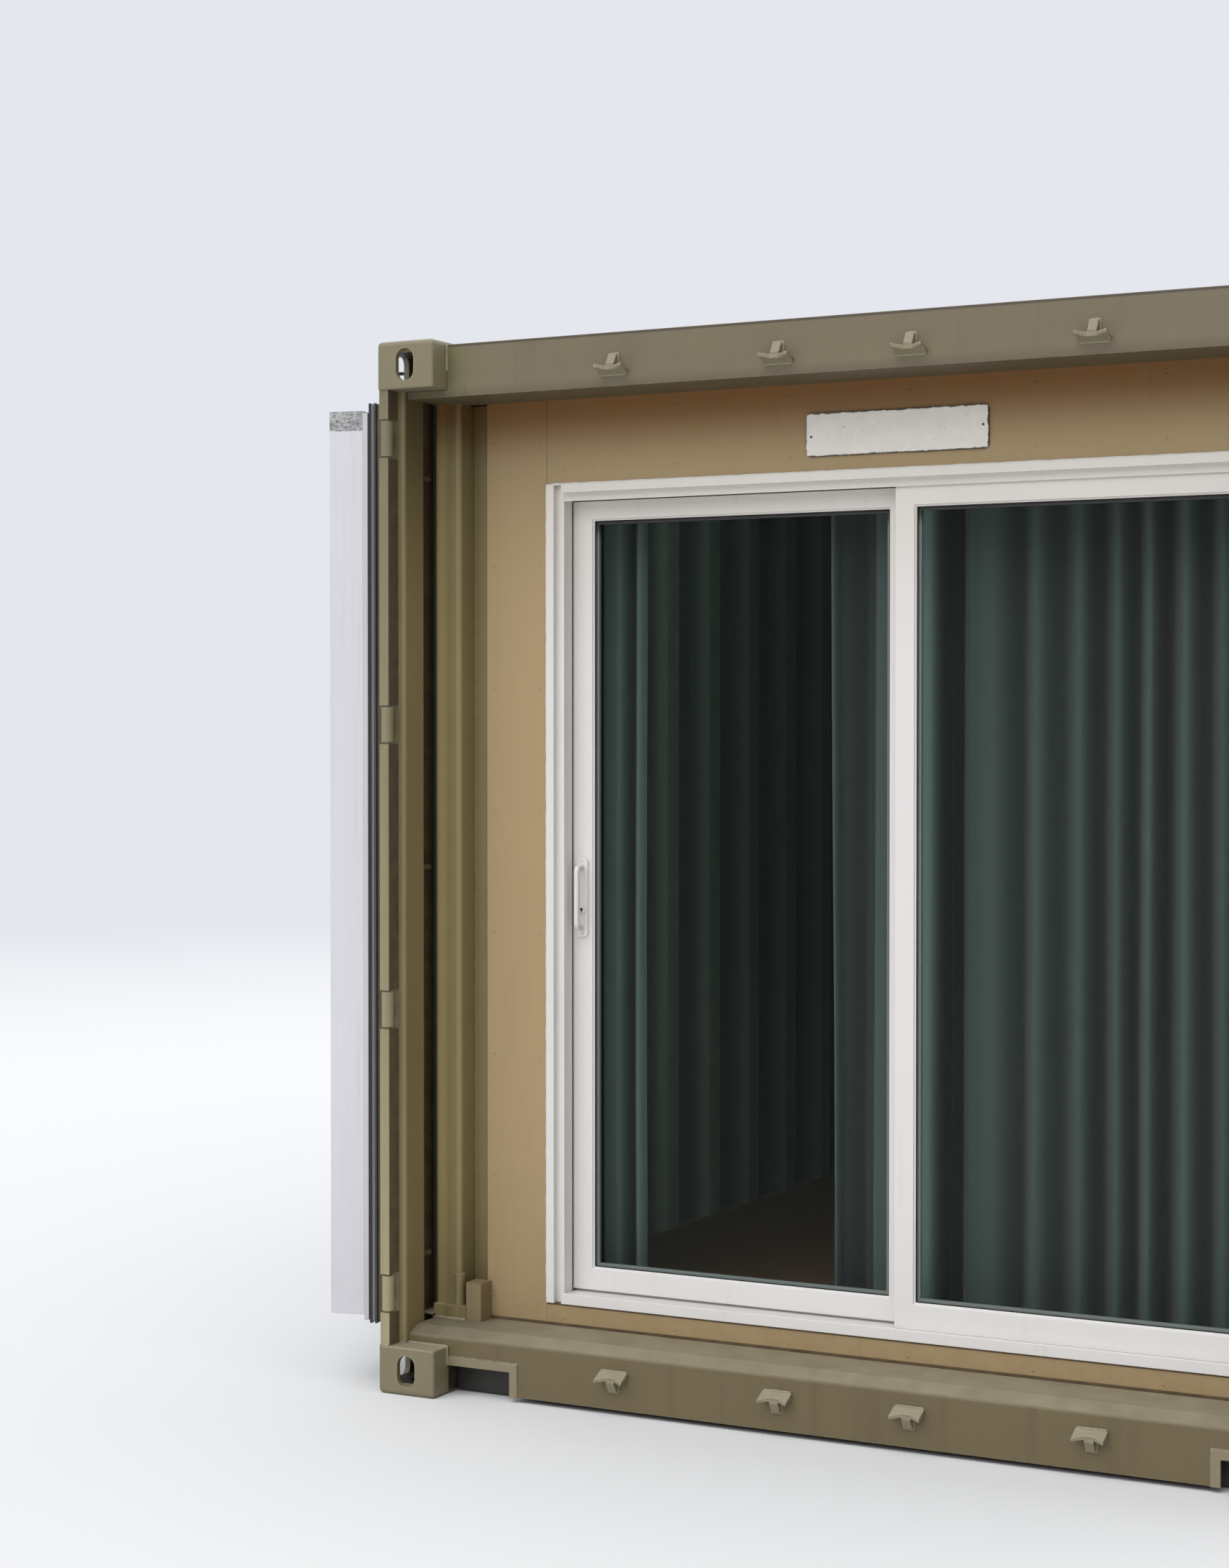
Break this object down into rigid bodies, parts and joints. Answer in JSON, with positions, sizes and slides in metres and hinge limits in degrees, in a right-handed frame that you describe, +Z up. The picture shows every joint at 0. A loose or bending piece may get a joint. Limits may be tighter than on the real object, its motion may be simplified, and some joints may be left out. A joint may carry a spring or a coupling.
{
  "type": "shipping container cabin",
  "caption": "Freight container cabin with a sliding patio door in a boarded wall set back in its door end, and both cargo doors swung open.",
  "frame": {"origin": "middle of the footprint, on the ground", "axes": "+X to the right seen from the door end, +Y from the door end to the rear, +Z up"},
  "size_m": [3.2226, 6.058, 2.591],
  "materials": {
    "container_paint": "satin olive paint over steel",
    "casting_paint": "satin olive paint over cast steel",
    "fitting_paint": "satin olive paint over forged steel",
    "underframe_paint": "dark underseal",
    "plywood": "sealed plywood",
    "wall_paint": "tan exterior paint on board",
    "block_paint": "tan paint on wood",
    "white_vinyl": "white vinyl",
    "window_glass": "clear insulating glass",
    "curtain_cloth": "grey green cloth",
    "rod_metal": "dark satin paint",
    "door_rubber": "matt black rubber",
    "white_board": "white paint on board",
    "white_timber": "white paint on timber"
  },
  "bodies": {
    "cabin": {"bottom_side_rail_left": "container_paint", "bottom_side_rail_right": "container_paint", "cam_keepers": "fitting_paint", "cross_members": "underframe_paint", "curtain_left": "curtain_cloth", "curtain_right": "curtain_cloth", "curtain_rod": "rod_metal", "door_header": "container_paint", "door_post_left": "container_paint", "door_post_right": "container_paint", "door_sill": "container_paint", "fixed_panel_frame": "white_vinyl", "fixed_panel_glass": "window_glass", "floor": "plywood", "fork_pockets": "underframe_paint", "front_corner_castings_left": "casting_paint", "front_corner_castings_right": "casting_paint", "hinge_pins": "fitting_paint", "jamb_tube_left": "container_paint", "jamb_tube_right": "container_paint", "patio_frame_head": "white_vinyl", "patio_frame_jambs": "white_vinyl", "patio_frame_sill": "white_vinyl", "rear_corner_castings_left": "casting_paint", "rear_corner_castings_right": "casting_paint", "rear_header": "container_paint", "rear_posts": "container_paint", "rear_sill": "container_paint", "rear_wall": "container_paint", "roof": "container_paint", "side_wall_left": "container_paint", "side_wall_right": "container_paint", "stop_blocks": "block_paint", "top_side_rails": "container_paint", "wall_foot": "wall_paint", "wall_head": "wall_paint", "wall_left": "wall_paint", "wall_right": "wall_paint"},
    "cargo_door_left": {"cargo_leaf_left": "container_paint", "door_gasket_left": "door_rubber", "leaf_lining_left": "white_board", "leaf_rails_left": "white_timber", "leaf_studs_left": "white_timber", "lock_bars_left": "fitting_paint"},
    "cargo_door_right": {"cargo_leaf_right": "container_paint", "door_gasket_right": "door_rubber", "leaf_lining_right": "white_board", "leaf_rails_right": "white_timber", "leaf_studs_right": "white_timber", "lock_bars_right": "fitting_paint"},
    "sliding_sash": {"sash_frame": "white_vinyl", "sash_glass": "window_glass", "sash_handles": "white_vinyl"}
  },
  "joints": [
    {"name": "left_door_hinge", "type": "hinge", "parent": "cabin", "child": "cargo_door_left", "pos_m": [-1.2, -3.009, 0], "axis": [0, 0, -1], "range_deg": [-258, 0]},
    {"name": "right_door_hinge", "type": "hinge", "parent": "cabin", "child": "cargo_door_right", "pos_m": [1.2, -3.009, 0], "axis": [0, 0, 1], "range_deg": [-258, 0]},
    {"name": "sash_slide", "type": "slide", "parent": "cabin", "child": "sliding_sash", "axis": [1, 0, 0], "range_m": [0, 0.8]}
  ]
}
